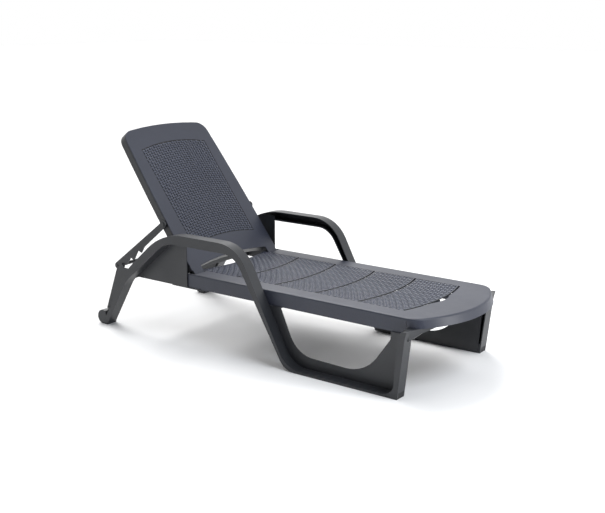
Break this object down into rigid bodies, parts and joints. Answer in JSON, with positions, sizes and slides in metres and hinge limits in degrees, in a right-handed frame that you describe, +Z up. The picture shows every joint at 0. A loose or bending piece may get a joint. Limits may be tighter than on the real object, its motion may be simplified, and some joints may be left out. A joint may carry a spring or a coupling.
{
  "type": "reclining sun lounger",
  "caption": "Moulded resin sun lounger: woven deck between two side frames with armrests, and a backrest held up by notched prop arms.",
  "frame": {"origin": "centre of the footprint on the ground, under the middle of the overall length and width", "axes": "+X towards the foot end, +Y towards the left hand of someone lying on it, +Z up"},
  "size_m": [1.734, 0.7, 0.8752],
  "materials": {
    "resin_light": "satin moulded polypropylene, slate grey",
    "resin_dark": "satin moulded polypropylene, anthracite",
    "rubber": "matte black glide",
    "steel": "zinc plated"
  },
  "bodies": {
    "root": {"deck": "resin_light", "side_frame_right": "resin_dark", "side_frame_left": "resin_dark", "rear_tie_beam": "resin_dark", "hinge_pin_right": "resin_dark", "hinge_pin_left": "resin_dark", "front_glide_right": "rubber", "front_glide_left": "rubber", "rear_glide_right": "rubber", "rear_glide_left": "rubber", "deck_screws_right": "steel", "deck_screws_left": "steel", "tie_screws_right": "steel", "tie_screws_left": "steel"},
    "backrest": {"backrest_shell": "resin_dark", "backrest_face": "resin_light", "face_screws": "steel", "prop_pin_right": "resin_dark", "prop_pin_left": "resin_dark"},
    "prop": {"prop_arm_right": "resin_dark", "prop_arm_left": "resin_dark", "prop_crossbar": "resin_dark", "crossbar_plug_right": "resin_dark", "crossbar_plug_left": "resin_dark"}
  },
  "joints": [
    {"name": "backrest_hinge", "type": "hinge", "parent": "root", "child": "backrest", "pos_m": [-0.341, 0, 0.277], "axis": [0, 1, 0], "range_deg": [-49, 0]},
    {"name": "prop_pivot", "type": "hinge", "parent": "backrest", "child": "prop", "pos_m": [-0.49828, 0, 0.48904], "axis": [0, 1, 0], "range_deg": [0, 85.5]}
  ],
  "couplings": [
    {"joint": "prop_pivot", "follows": "backrest_hinge", "ratio": -1.7449}
  ]
}
